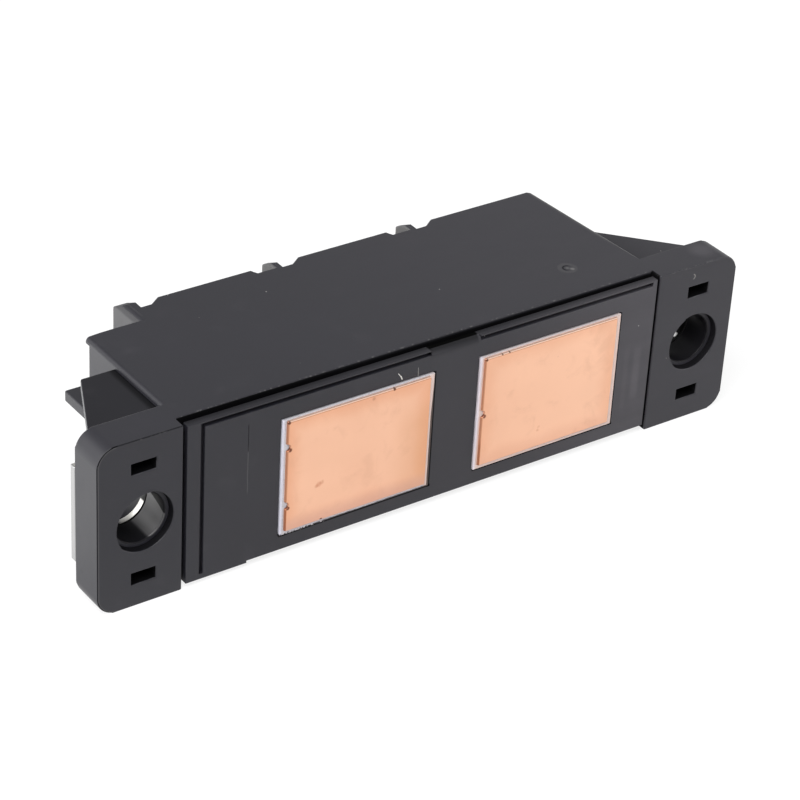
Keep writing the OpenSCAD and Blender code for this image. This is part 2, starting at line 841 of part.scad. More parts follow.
// Pan-head screws with a cross recess
module terminal_screws() color(zinc) lie_on_side() {
    for (x = terminals_x)
        translate([x, 0, head_foot_h])
            difference() {
                rotate_extrude()
                    polygon([
                        [0, -screw_len], [screw_d / 2 - tip_chamfer, -screw_len],
                        [screw_d / 2, -screw_len + tip_chamfer], [screw_d / 2, 0], [head_d / 2, 0],
                        [head_d / 2, head_h - head_crown], [head_d / 2 - head_crown, head_h],
                        [0, head_h]
                    ]);
                for (size = [[recess_len, recess_w], [recess_w, recess_len]])
                    translate([-size.x / 2, -size.y / 2, head_h - recess_depth])
                        cube([size.x, size.y, recess_depth + cut]);
            }
}

// Split spring washers under the screw heads
module spring_washers() color(zinc) lie_on_side() {
    for (x = terminals_x)
        translate([x, 0, spring_h])
            difference() {
                cylinder(d = spring_d, h = spring_t);
                translate([0, 0, -cut])
                    cylinder(d = screw_d + screw_clear, h = spring_t + 2 * cut);
                translate([0, -spring_split / 2, -cut])
                    cube([spring_d, spring_split, spring_t + 2 * cut]);
            }
}

// Flat washers on the terminal strips
module flat_washers() color(zinc) lie_on_side() {
    for (x = terminals_x)
        translate([x, 0, terminal_h])
            difference() {
                cylinder(d = washer_d, h = washer_t);
                translate([0, 0, -cut])
                    cylinder(d = clear_hole_d, h = washer_t + 2 * cut);
            }
}

// Gel that fills the windows and the room over the base frame, round the pieces in it
module silicone_gel() color(gel_clear) difference() {
    lie_on_side() {
        block(
            [inner_left + ledge_w, -inner_half + ledge_w, frame_h],
            [inner_right - ledge_w, inner_half - ledge_w, gel_h]
        );
        for (x = [left_tile_x, right_tile_x])
            translate([x, tile_shift, 0])
                block(
                    [-tile_len / 2 + tile_ledge, -tile_w / 2 + tile_ledge, tile_in_h],
                    [tile_len / 2 - tile_ledge, tile_w / 2 - tile_ledge, frame_h + cut]
                );
    }
    copper_track_left();
    copper_track_right();
    diode_chip_left();
    diode_chip_right();
    joining_clip();
    terminal_1();
    terminal_2();
    terminal_3();
}

module ceramic_tile_left() ceramic_tile(left_tile_x);
module ceramic_tile_right() ceramic_tile(right_tile_x);
module base_copper_left() base_copper(left_tile_x, [left_nick_a, left_nick_b]);
module base_copper_right() base_copper(right_tile_x, [right_nick]);
module mounting_plate_left() mounting_plate(-1, -left_x + plate_gap);
module mounting_plate_right() mounting_plate(1, right_foot_x + plate_gap);
module copper_track_left() copper_track(left_tile_x);
module copper_track_right() copper_track(right_tile_x);
module diode_chip_left() diode_chip(left_chip_x);
module diode_chip_right() diode_chip(right_chip_x);

housing();
base_frame();
ceramic_tile_left();
ceramic_tile_right();
base_copper_left();
base_copper_right();
mounting_plate_left();
mounting_plate_right();
copper_track_left();
copper_track_right();
diode_chip_left();
diode_chip_right();
joining_clip();
terminal_1();
terminal_2();
terminal_3();
terminal_nuts();
terminal_screws();
spring_washers();
flat_washers();
silicone_gel();
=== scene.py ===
"""Power diode module lying on its long side, with its heat-sink face to the front.

The solids come from the frame. This script gives them finishes, rounded edges and small surface detail.
"""
import json
import math

import bmesh
import bpy
import numpy as np
from mathutils import Matrix, Vector


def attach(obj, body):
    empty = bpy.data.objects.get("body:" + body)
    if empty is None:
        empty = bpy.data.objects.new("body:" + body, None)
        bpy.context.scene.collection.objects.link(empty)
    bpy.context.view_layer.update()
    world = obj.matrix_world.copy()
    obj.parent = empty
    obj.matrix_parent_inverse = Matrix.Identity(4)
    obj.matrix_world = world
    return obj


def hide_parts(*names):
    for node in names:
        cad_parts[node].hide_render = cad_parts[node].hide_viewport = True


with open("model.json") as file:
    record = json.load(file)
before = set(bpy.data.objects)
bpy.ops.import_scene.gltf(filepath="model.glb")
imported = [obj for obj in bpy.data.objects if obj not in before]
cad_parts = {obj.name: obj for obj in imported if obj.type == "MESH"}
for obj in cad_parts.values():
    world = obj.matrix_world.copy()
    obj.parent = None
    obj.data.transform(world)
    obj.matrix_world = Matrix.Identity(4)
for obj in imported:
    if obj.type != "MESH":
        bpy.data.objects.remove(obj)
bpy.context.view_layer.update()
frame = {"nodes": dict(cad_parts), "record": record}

# All sizes below are in millimetres; MM turns them into Blender's metres
MM = 0.001

# Camera: what it aims at, from how far, how it is turned, its lens and its sensor
AIM = Vector((3.539, -5.545, 7.383))
DISTANCE = 354.12
AZIMUTH = math.radians(36.466)
ELEVATION = math.radians(31.680)
ROLL = math.radians(3.427)
LENS = 128.965
SENSOR = 36.0

# Faces that turn by less than this are joined into one flat face
FLAT_TURN = math.radians(0.6)
# Outer edges that turn by more than this are rounded
ROUNDED_TURN = math.radians(50)
# Other edges that turn by more than this stay crisp
CRISP_TURN = math.radians(30)
# Two edges that leave a corner closer together than this meet in a cusp
CUSP_ANGLE = math.radians(32)

# Places on the module are x along it, h over its heat-sink face and z off its middle.
# These say how far that face lies in front of the frame's origin, and that middle above it
HEAT_SINK_Y = 17.5
MIDDLE_Z = 11.2

# Flanges: where they end, inner face of the right one, height of the backs, centre of the corner arcs
FLANGE_END_X = 46.0
RIGHT_FLANGE_X = 33.5
FLANGE_BACK = 5.0
FLANGE_CORNER = (43.5, 8.7)
# Mounting holes in the flanges, and the slots above and below them
HOLE_X = 40.0
BORE_RADIUS = 3.25
COUNTERBORE = {"radius": 3.9, "depth": 1.0}
SLOT = {"half_x": 1.62, "z": 7.45, "half_z": 0.77}
# Moulded lips that narrow the counterbores: hole, first and last angle in degrees, greatest width
HOLE_LIPS = ((-HOLE_X, 72, 222, 0.55), (HOLE_X, 112, 230, 0.25))
# How far a lip covers the counterbore's rounded rim, its chamfer, and how proud of the flange it stands
LIP = {"cover": 0.24, "chamfer": 0.06, "proud": 0.004}

# Housing: upper side, end walls, of which the right one leans in by so much per height, and gusset faces
SIDE_Z = 11.2
LEFT_WALL_X = -34.9
RIGHT_WALL_X = 34.1
RIGHT_WALL_LEAN = 0.061
UPPER_GUSSET_Z = 10.5
LOWER_GUSSET_Z = -9.2
# Gate mark on the side, as x and h, and the pale blob beside its middle
GATE = (24.7, 7.5)
GATE_BLOB = (25.1, 7.05)
# Barriers: place of the left face, thickness, height from which that face shows, and how strong the painted
# highlight on that face is
BARRIERS = ((-27.7, 2.05, 22.4, 0.04), (-6.65, 1.0, 25.2, 0.1), (13.35, 1.0, 25.2, 0.11))
BARRIER_TOP = 28.5
# Marks on the right flange: a comma-shaped scratch on its face, as x and z, and a smudge on its side, x and h
COMMA = (38.85, 9.7)
SMUDGE = (42.4, 2.9)

# Base frame: right end, upper edge, knit line, and threads of lint as start, end, half width and lightness
FRAME_END_X = 33.1
FRAME_TOP_Z = 10.9
KNIT_X = -26.3
LINT = (
    ((-5.73, 9.08), (-5.3, 8.5), 0.035, 0.7),
    ((-5.35, 8.6), (-5.16, 8.17), 0.055, 0.7),
    ((-2.9, 9.03), (-2.84, 7.95), 0.025, 0.3),
)

# Ceramic tiles and the copper pads on them: middles along the module and half sizes
TILES_X = (-11.15, 16.85)
TILE_HALF_X = 10.65
PADS_X = (-11.25, 16.75)
PAD_HALF = (10.05, 7.6)
PAD_CORNER = 0.15
# Etched edge of a pad from its foot to its face: how far it steps in, and its height
PAD_SHOULDER = ((0.0, -0.2), (0.01, -0.33), (0.03, -0.42), (0.07, -0.48), (0.12, -0.5), (0.16, -0.5))
# Places of the etched nicks across each pad's left edge, and their radius
PAD_NICKS = ((4.0, -4.0), (-0.2,))
NICK_RADIUS = 0.45
# Dark spots on the copper pads: place along the module, place off its middle, radius
COPPER_SPOTS = (
    (-20.9, 3.65, 0.36), (-20.95, -4.38, 0.34), (7.1, -0.57, 0.34), (-21.1, 7.4, 0.27), (6.9, 7.4, 0.23),
    (-6.5, 7.45, 0.24), (-16.2, -7.5, 0.24), (9.2, 7.5, 0.14), (10.25, 7.5, 0.14),
)
# Brown stains on the copper pads, in the same form
COPPER_STAINS = (
    (-16.7, -2.4, 0.55), (-16.3, -2.25, 0.45), (-17.0, -2.6, 0.4), (15.7, -4.8, 0.3), (15.6, -5.2, 0.3),
)

# Terminal screws and washers: their places along the module, then heights over the heat-sink face and sizes
TERMINALS_X = (-15.0, 5.0, 25.0)
FLAT_WASHER = {"foot": 30.0, "height": 1.0, "inner": 2.75, "outer": 5.0}
SPRING_WASHER = {"foot": 31.0, "height": 1.2, "inner": 2.625, "outer": 4.6}
# How far a spring washer rises as a share of its height, and half its split as an angle
SPRING_LIFT = 0.2
HALF_SPLIT = 0.09
SCREW = {"foot": 32.2, "head": 3.3, "rim": 0.9, "radius": 4.75, "bearing": 4.6, "chamfer": 0.12}
SHANK = {"radius": 2.5, "length": 10.0, "neck": 0.3, "tip": 0.6, "pitch": 0.8, "thread": 0.42}
RECESS = {"half": 0.62, "wall": 0.16, "reach": 2.6, "run": 1.7, "depth": 2.0}
# How far round the washers' splits and the screws' crosses are turned at each terminal
SPLIT_TURNS = (0.0, 0.7, 1.4)
CROSS_TURNS = (0.3, 0.8, 1.3)

# Points that lie closer together than this are merged, in a copy of a solid and in a new piece
COPY_MERGE = 0.001
PIECE_MERGE = 0.0001
# Faces across a rounded edge, and the radius of the rounded edges of each solid that shows
EDGE_SEGMENTS = 3
EDGE_RADIUS = {
    "housing": 0.2,
    "base_frame": 0.08,
    "ceramic_tile_left": 0.05,
    "ceramic_tile_right": 0.05,
    "mounting_plate_left": 0.12,
    "mounting_plate_right": 0.12,
    "terminal_1": 0.12,
    "terminal_2": 0.12,
    "terminal_3": 0.12,
}

# Studio: half size of the floor, and the lamps as name, place, target, size and watts
FLOOR_HALF = 3000.0
LAMPS = (
    ("key_light", (-250, -200, 420), (0, 0, 11), 320, 3.0),
    ("right_light", (380, -260, 200), (20, -10, 11), 260, 0.8),
    ("left_light", (-380, 60, 130), (-15, 0, 11), 260, 1.0),
)


class Signal:
    """A node's output that takes part in Python arithmetic: each operator adds one Math node."""

    def __init__(self, finish, socket):
        self.finish = finish
        self.socket = socket

    def math(self, operation, *values):
        return self.finish.node("ShaderNodeMath", {"operation": operation}, dict(enumerate(values)))

    def __add__(self, other):
        return self.math("ADD", self, other)

    def __radd__(self, other):
        return self.math("ADD", other, self)

    def __sub__(self, other):
        return self.math("SUBTRACT", self, other)

    def __rsub__(self, other):
        return self.math("SUBTRACT", other, self)

    def __mul__(self, other):
        return self.math("MULTIPLY", self, other)

    def __rmul__(self, other):
        return self.math("MULTIPLY", other, self)

    def __truediv__(self, other):
        return self.math("DIVIDE", self, other)

    def __rtruediv__(self, other):
        return self.math("DIVIDE", other, self)

    def __pow__(self, other):
        return self.math("POWER", self, other)

    def __abs__(self):
        return self.math("ABSOLUTE", self)

    def minimum(self, other):
        return self.math("MINIMUM", self, other)

    def maximum(self, other):
        return self.math("MAXIMUM", self, other)


class Finish:
    """A node tree being put together, with the coordinates of its surface in millimetres."""

    def __init__(self, tree):
        self.tree = tree
        self.tree.nodes.clear()

    def node(self, kind, settings=None, sockets=None, output=0):
        """Adds a node: its settings first, then the values or links of its sockets, by index or by name."""
        made = self.tree.nodes.new(kind)
        for name, value in (settings or {}).items():
            setattr(made, name, value)
        for name, value in (sockets or {}).items():
            if isinstance(value, Signal):
                self.tree.links.new(value.socket, made.inputs[name])
            else:
                made.inputs[name].default_value = value
        return Signal(self, made.outputs[output]) if made.outputs else made

    def outputs(self, signal, *names):
        """Other outputs of the node that a signal comes from, by index or by name."""
        return [Signal(self, signal.socket.node.outputs[name]) for name in names]

    def millimetres(self):
        """Object coordinates as a vector in millimetres."""
        place = self.node("ShaderNodeTexCoord", output="Object")
        return self.node("ShaderNodeVectorMath", {"operation": "SCALE"}, {0: place, "Scale": 1 / MM})

    def axes(self, place):
        """The three parts of a vector."""
        return self.outputs(self.node("ShaderNodeSeparateXYZ", None, {0: place}), 0, 1, 2)

    def noise(self, place, scale, detail=2.0, roughness=0.5, distortion=0.0):
        """Cloudy noise from 0 to 1, with scale waves in a millimetre."""
        form = {"Scale": scale, "Detail": detail, "Roughness": roughness, "Distortion": distortion}
        return self.node("ShaderNodeTexNoise", None, {"Vector": place} | form)

    def step(self, value, low, high):
        """Smooth rise from 0 at low to 1 at high."""
        sockets = {0: value, 1: low, 2: high}
        return self.node("ShaderNodeMapRange", {"interpolation_type": "SMOOTHSTEP"}, sockets)

    def line(self, value, middle, half, soft):
        """1 within half of the middle, falling to 0 over soft."""
        return 1 - self.step(abs(value - middle), half, half + soft)

    def inside(self, value, low, high, soft):
        """1 from low to high, falling to 0 over soft outside them."""
        return self.line(value, (low + high) / 2, (high - low) / 2, soft)

    @staticmethod
    def distance(u, v, middle=(0.0, 0.0)):
        """Distance from a middle in the plane of u and v."""
        return ((u - middle[0]) ** 2 + (v - middle[1]) ** 2) ** 0.5

    def stroke(self, u, v, start, end, half):
        """1 along a straight stroke of this half width, from start to end in the plane of u and v."""
        du, dv = end[0] - start[0], end[1] - start[1]
        size = math.hypot(du, dv)
        along = ((u - start[0]) * du + (v - start[1]) * dv) / size
        off = ((u - start[0]) * dv - (v - start[1]) * du) / size
        return self.line(off, 0, half, half) * self.inside(along, 0, size, 0.1)

    def stretched(self, place, factors):
        """A vector multiplied part by part, to draw a pattern out along one axis."""
        return self.node("ShaderNodeVectorMath", {"operation": "MULTIPLY"}, {0: place, 1: factors})

    def blend(self, factor, first, second):
        """Colour that goes from first to second as factor goes from 0 to 1."""
        settings = {"data_type": "RGBA", "clamp_factor": True}
        return self.node("ShaderNodeMix", settings, {0: factor, 6: first, 7: second}, output=2)

    def bump(self, height, depth):
        """Normal of a surface whose height runs from 0 to 1 over depth millimetres."""
        return self.node("ShaderNodeBump", None, {"Height": height, "Distance": depth * MM}, output="Normal")

    def surface(self, painted_shade_and_marks=0.0, **sockets):
        """Principled surface, mixed towards matt black by the first argument, which carries painted shade and
        dark marks.

        The other arguments are named as its sockets, with _ for spaces.
        """
        named = {name.replace("_", " "): value for name, value in sockets.items()}
        shader = self.node("ShaderNodeBsdfPrincipled", None, named)
        if isinstance(painted_shade_and_marks, Signal):
            matt = self.node("ShaderNodeBsdfDiffuse", None, {"Color": rgb(0.002, 0.002, 0.002)})
            shader = self.node("ShaderNodeMixShader", None, {0: painted_shade_and_marks, 1: shader, 2: matt})
        self.node("ShaderNodeOutputMaterial", None, {"Surface": shader})


def new_finish(name):
    """A new material and the Finish that fills its node tree."""
    material = bpy.data.materials.new(name)
    material.use_nodes = True
    return material, Finish(material.node_tree)


def rgb(red, green, blue):
    """Opaque colour."""
    return (red, green, blue, 1.0)


def own_axes(f):
    """Place on the module in millimetres: the vector, then x along it, h over its face, z off its middle."""
    place = f.millimetres()
    x, y, z = f.axes(place)
    return place, x, y + HEAT_SINK_Y, z - MIDDLE_Z


def specks(f, place, spacing, size, share):
    """Small round specks: one in each cell of the spacing, of which only a share shows."""
    cells = f.node("ShaderNodeTexVoronoi", None, {"Vector": place, "Scale": 1 / spacing})
    [cell_colour] = f.outputs(cells, "Color")
    pick = f.axes(cell_colour)[0]
    return f.step(cells, size / spacing, 0.5 * size / spacing) * f.step(pick, 1 - share, 1.001 - share)


def moulded_black(name, tone, marks):
    """Black thermoplastic: fine spark-eroded grain, cloudy tone, rubbed patches, dust film and specks.

    marks gives four masks of the place: painted shade with dark marks, dust, polish, and painted light with
    rubbed wear.
    """
    material, f = new_finish(name)
    place, x, h, z = own_axes(f)
    painted_shade_and_marks, dusty, polished, painted_light_and_wear = marks(f, place, x, h, z)
    cloud = f.noise(place, 0.12, detail=3)
    grain = f.noise(place, 9.0, detail=3, roughness=0.6)
    streak = f.noise(f.stretched(place, (0.25, 1.0, 1.0)), 0.5, detail=4, roughness=0.6)
    rub = f.step(f.noise(place, 0.33, detail=4, roughness=0.6), 0.55, 0.8)
    dark = rgb(*(0.85 * part for part in tone))
    light = rgb(*(1.15 * part for part in tone))
    colour = f.blend(cloud, dark, light)
    colour = f.blend(rub * 0.12 + dusty * (0.7 + 0.6 * streak), colour, rgb(0.06, 0.056, 0.064))
    # Painted highlights and rubbed wear lighten the colour here
    colour = f.blend(painted_light_and_wear, colour, rgb(0.5, 0.49, 0.46))
    colour = f.blend(specks(f, place, 2.6, 0.09, 0.3), colour, rgb(0.42, 0.4, 0.39))
    roughness = (0.4 + 0.12 * cloud + 0.08 * (grain - 0.5) + 0.1 * rub) * (1 - 0.55 * polished)
    normal = f.bump(grain, 0.004)
    # Painted shade and dark marks mix in matt black
    f.surface(painted_shade_and_marks, Base_Color=colour, Roughness=roughness, Normal=normal, Specular_IOR_Level=0.4)
    return material


def flange_openings(f, x, h, z):
    """Slots, bores and counterbores: their painted shade, where the bores lie, and a painted highlight in the
    left bore.
    """
    side = abs(x) - HOLE_X
    slot = f.line(side, 0, SLOT["half_x"], 0.05) * f.line(abs(z), SLOT["z"], SLOT["half_z"], 0.05)
    slot = slot * f.step(h, 0.0, 0.2)
    radius = f.distance(side, z)
    in_bore = f.step(radius, BORE_RADIUS + 0.25, BORE_RADIUS + 0.1)
    in_bore = in_bore * f.step(h, COUNTERBORE["depth"] - 0.1, COUNTERBORE["depth"])
    rebate = f.inside(radius, COUNTERBORE["radius"] - 0.06, COUNTERBORE["radius"] + 0.05, 0.03)
    rebate = rebate * f.step(h, 0.05, 0.15)
    # Painted highlight on the far wall of the left bore, which also lifts the painted shade there
    painted_gleam = in_bore * f.step(x, -39.9, -39.7) * f.step(x, 0, -1) * f.step(z, -3.12, -2.95)
    painted_gleam = painted_gleam * f.step(0.416 * h - 1.02 - z, -0.15, 0.05) * f.step(h, 4.9, 4.8)
    # Slots, bores and counterbore rebates get painted shade
    return 0.92 * slot + in_bore * (0.7 - 0.7 * painted_gleam) + 0.75 * rebate, in_bore, painted_gleam


def flange_edges(f, x, h, z, on_side):
    """Edges of the flanges: painted shade along the left front ones, and painted highlights beside and behind
    them.
    """
    front = f.inside(h, 0.02, 0.085, 0.01) * f.step(x, -43.2, -43.7)
    upper = f.step(z, SIDE_Z - 0.14, SIDE_Z - 0.09) * f.step(h, 0.13, 0.09) * f.inside(x, -44.0, -35.2, 0.6)
    past_corner = [(abs(part) - centre).maximum(0) for part, centre in zip((x, z), FLANGE_CORNER)]
    beside = f.line(f.distance(*past_corner), 2.31, 0.03, 0.05)
    beside = beside * f.step(h, 0.03, 0.01) * f.step(x, -43.3, -43.7)
    back = f.line(h, FLANGE_BACK - 0.08, 0.04, 0.05) * on_side
    back = back * f.step(abs(x), 35.0, 35.4) * f.step(abs(x), 44.3, 43.7)
    return 0.8 * front + 0.55 * upper, 0.05 * beside + 0.08 * back


def frame_grooves(f, x, h, z):
    """Painted shade in the groove between the side walls and the base frame, and in the gap past the frame's
    right end.
    """
    foot = f.inside(h, 1.4, 1.79, 0.05) * f.step(abs(z), 9.0, 9.3)
    foot = foot * f.inside(x, LEFT_WALL_X + 0.1, RIGHT_FLANGE_X - 0.1, 0.1)
    foot = foot * (1 - 0.75 * f.step(abs(z), 10.75, 11.0) * f.step(x, -30, 25))
    gap = f.line(x, RIGHT_FLANGE_X, 0.1, 0.03) * f.step(h, 1.9, 1.7) * f.step(h, 0.12, 0.3)
    return 0.9 * foot + 0.9 * gap


def gusset_faces(f, x, h, z, past_wall):
    """Gussets and the left end wall's foot: their painted shade, deeper near the wall, and where the left
    gussets' faces lie.
    """
    behind = f.step(h, FLANGE_BACK, FLANGE_BACK + 0.15)
    upper = f.line(z, UPPER_GUSSET_Z, 0.03, 0.1)
    lower = f.line(z, LOWER_GUSSET_Z, 0.03, 0.1)
    off_wall = LEFT_WALL_X - x
    left = f.step(off_wall, 0.02, 0.12) * behind * (upper + lower)
    right = f.step(past_wall, 0.05, 0.2) * behind * upper * (1 - f.step(past_wall, 0.5, 9.0))
    low_wall = f.line(x, LEFT_WALL_X, 0.03, 0.05) * f.step(z, 4.0, 0.0) * f.inside(h, 5.5, 15.0, 1.0)
    painted_shade_and_marks = left * (0.4 + 0.35 * f.step(off_wall, 1.3, 0.5)) + 0.2 * right + 0.25 * low_wall
    return painted_shade_and_marks, left


def gate_mark(f, x, h, on_side):
    """Gate mark on the side: a ring with painted shade on its left side, and its pale blob, middle and halo.
    """
    off = f.distance(x, h, GATE)
    ring = on_side * f.line(off, 0.58, 0.05, 0.1) * f.step(x - h, 17.7, 16.9)
    blob = f.step(f.distance(x, h, GATE_BLOB), 0.4, 0.15)
    pale = 0.13 * blob + 0.08 * f.step(off, 0.35, 0.1) + 0.025 * f.line(off, 1.0, 0.15, 0.2)
    return 0.6 * ring, on_side * pale


def edge_highlights_and_wear(f, place, x, h, z, on_side, past_wall):
    """Light edges: rubbed wear with painted highlight, broken along the flanges' and side wall's fronts, and
    an even painted highlight up the right end wall.
    """
    broken = f.step(f.noise(place, 2.1, detail=3), 0.52, 0.64)
    flange_front = f.line(z, SIDE_Z - 0.08, 0.05, 0.05) * f.step(abs(x), 34.6, 35.2)
    flange_front = flange_front * f.step(abs(x), 43.0, 42.0) * f.step(h, 0.3, 0.1)
    wall_front = f.line(h, 1.88, 0.05, 0.06) * on_side
    wall_front = wall_front * f.inside(x, LEFT_WALL_X + 0.4, RIGHT_FLANGE_X - 0.1, 0.2)
    end_edge = f.line(past_wall, -0.08, 0.06, 0.06) * on_side * f.step(h, 5.2, 6.0)
    end_rim = f.inside(past_wall, -0.25, 0.0, 0.4) * f.step(h, 8.0, 14.0)
    end_rim = end_rim * f.step(z, SIDE_Z - 0.3, SIDE_Z - 0.2)
    return 0.07 * broken * (flange_front + wall_front) + 0.26 * end_edge + 0.06 * end_rim


def barrier_edges(f, x, h, on_side):
    """Barriers: faint painted highlights on the left faces, short of the side, and on the tops."""
    at_top = f.step(h, BARRIER_TOP - 0.45, BARRIER_TOP - 0.1)
    painted_light_and_wear = 0.0
    for left, thickness, shown, light in BARRIERS:
        face = f.inside(x, left - 0.1, left + 0.25, 0.2) * f.step(h, shown, shown + 0.1) * (1 - on_side)
        top = f.inside(x, left - 0.05, left + thickness, 0.05) * at_top
        painted_light_and_wear = painted_light_and_wear + light * face + 0.14 * top
    return painted_light_and_wear


def housing_marks(f, place, x, h, z):
    """Housing: painted shade in openings, grooves, gussets and the gate ring, polished gussets and bores,
    painted highlights with rubbed wear on edges, dust on the right.
    """
    on_side = f.step(z, SIDE_Z - 0.2, SIDE_Z - 0.05)
    past_wall = x - RIGHT_WALL_X + RIGHT_WALL_LEAN * (h - FLANGE_BACK)
    painted_shade_openings, in_bore, painted_gleam = flange_openings(f, x, h, z)
    painted_shade_edges, painted_highlight_edges = flange_edges(f, x, h, z, on_side)
    painted_shade_gussets, left_gussets = gusset_faces(f, x, h, z, past_wall)
    painted_shade_gate, pale_gate = gate_mark(f, x, h, on_side)
    painted_shade_and_marks = painted_shade_openings + painted_shade_edges + frame_grooves(f, x, h, z) + painted_shade_gussets + painted_shade_gate
    comma = f.line(f.distance(x, z, COMMA), 0.34, 0.04, 0.06)
    comma = comma * f.step(x, COMMA[0], COMMA[0] + 0.15) * f.step(h, 0.05, 0.02)
    painted_light_and_wear = pale_gate + painted_highlight_edges + 0.25 * comma + 0.07 * painted_gleam + barrier_edges(f, x, h, on_side)
    painted_light_and_wear = painted_light_and_wear + edge_highlights_and_wear(f, place, x, h, z, on_side, past_wall)
    smudge = f.step(f.distance(x, h, SMUDGE), 2.4, 0.5) * on_side
    dusty = 0.17 * f.step(x, -35, 45) + 0.4 * smudge
    return painted_shade_and_marks, dusty, left_gussets + 0.35 * in_bore, painted_light_and_wear


def frame_marks(f, place, x, h, z):
    """Base frame: painted shade in recesses, on the rim and on a strip between the tiles, painted shadow
    lines beside and below the tiles, a knit line, lint, and more film to the right.
    """
    # Painted shade deep in the gap, on the frame's right end, on the rim's upper face and on a strip near the
    # top between the tiles
    painted_shade_and_marks = f.step(h, 1.0, 1.06) + 0.85 * f.step(x, FRAME_END_X - 0.1, FRAME_END_X - 0.02)
    on_top = f.step(z, FRAME_TOP_Z - 0.1, FRAME_TOP_Z - 0.02)
    painted_shade_and_marks = painted_shade_and_marks + on_top * (0.22 + 0.3 * f.step(h, 0.1, 0.9))
    middle = f.inside(x, -1.1, 5.7, 0.25) * (0.42 * f.step(z, 9.5, 10.75) + 0.25 * f.step(h, 0.02, 0.4))
    painted_shade_and_marks = painted_shade_and_marks + middle * f.step(z, 9.0, 9.1)
    # Painted shadow lines along each tile's right and bottom edges
    for tile in TILES_X:
        off = x - tile
        painted_shade_and_marks = painted_shade_and_marks + 0.85 * f.inside(off, 10.7, 10.9, 0.12) * f.inside(z, -8.4, 7.75, 0.1)
        painted_shade_and_marks = painted_shade_and_marks + 0.85 * f.inside(z, -8.4, -8.2, 0.12) * f.inside(off, -10.6, 11.0, 0.1)
    wander = 0.12 * (f.noise(place, 0.7) - 0.5)
    knit = f.line(x - wander, KNIT_X, 0.03, 0.05)
    dark_knit = knit * f.inside(z, 5.2, 8.3, 0.5)
    light_knit = knit * f.inside(z, -0.3, 5.2, 0.8)
    film = 0.08 * f.step(x, -28, 5) + 0.42 * f.step(x, 6, 32)
    film = film + 0.3 * f.line(x, 31.0, 0.2, 0.7) * f.inside(z, -4.5, 0.5, 2.0)
    film = film + 0.12 * f.line(x, 29.3, 0.1, 0.5) * f.inside(z, -6, 1, 2)
    crumbs = f.step(f.noise(place, 3.6, detail=1), 0.56, 0.62) * f.inside(z, -8.42, -8.2, 0.05)
    litter = 0.8 * crumbs * f.inside(x, -20.4, -15.6, 0.6)
    for start, end, half, light in LINT:
        litter = litter + light * f.stroke(x, z, start, end, half)
    on_face = f.step(h, 0.1, 0.02)
    return painted_shade_and_marks + 0.6 * dark_knit, film, 0.0, 0.05 * light_knit + litter * on_face


def fired_ceramic():
    """Alumina: lilac grey with fine grain, a painted highlight at the left edge, warm at the right, painted
    shadow along the left tile's bottom and right edges.
    """
    material, f = new_finish("fired_ceramic")
    place, x, _, z = own_axes(f)
    cloud = f.noise(place, 0.5, detail=3)
    grain = f.noise(place, 6.0, detail=2)
    colour = f.blend(cloud, rgb(0.33, 0.32, 0.345), rgb(0.41, 0.395, 0.42))
    colour = f.blend(f.step(grain, 0.5, 0.7) * 0.5, colour, rgb(0.22, 0.21, 0.23))
    for tile in TILES_X:
        # Painted highlight along each tile's left edge
        pale = f.line(x - tile, -TILE_HALF_X, 0.2, 0.1)
        warm = f.step(x - tile, 9.8, 10.0) * f.step(z, 7.9, 7.5)
        colour = f.blend(pale * 0.6, colour, rgb(0.5, 0.5, 0.58))
        colour = f.blend(warm * 0.9, colour, rgb(0.47, 0.36, 0.325))
    # Painted shadow, broken by crumbs, along the left tile's bottom and right edges
    on_left = f.step(x, 1, 0)
    ragged = 0.2 * (f.noise(place, 1.6, detail=3) - 0.5)
    low = f.step(z + ragged, -7.92, -8.02)
    beside = f.step(x - TILES_X[0] + 0.3 * ragged - 0.2 * f.step(z, 1, 7), 10.33, 10.39)
    crumbs = f.step(f.noise(place, 3.2, detail=1), 0.5, 0.58) * f.inside(x, -21.3, -16.0, 0.6)
    painted_tile_shadow = on_left * 0.85 * low.maximum(beside) * (1 - 0.9 * crumbs)
    f.surface(painted_tile_shadow, Base_Color=colour, Roughness=0.55 + 0.1 * cloud, Normal=f.bump(grain, 0.006))
    return material


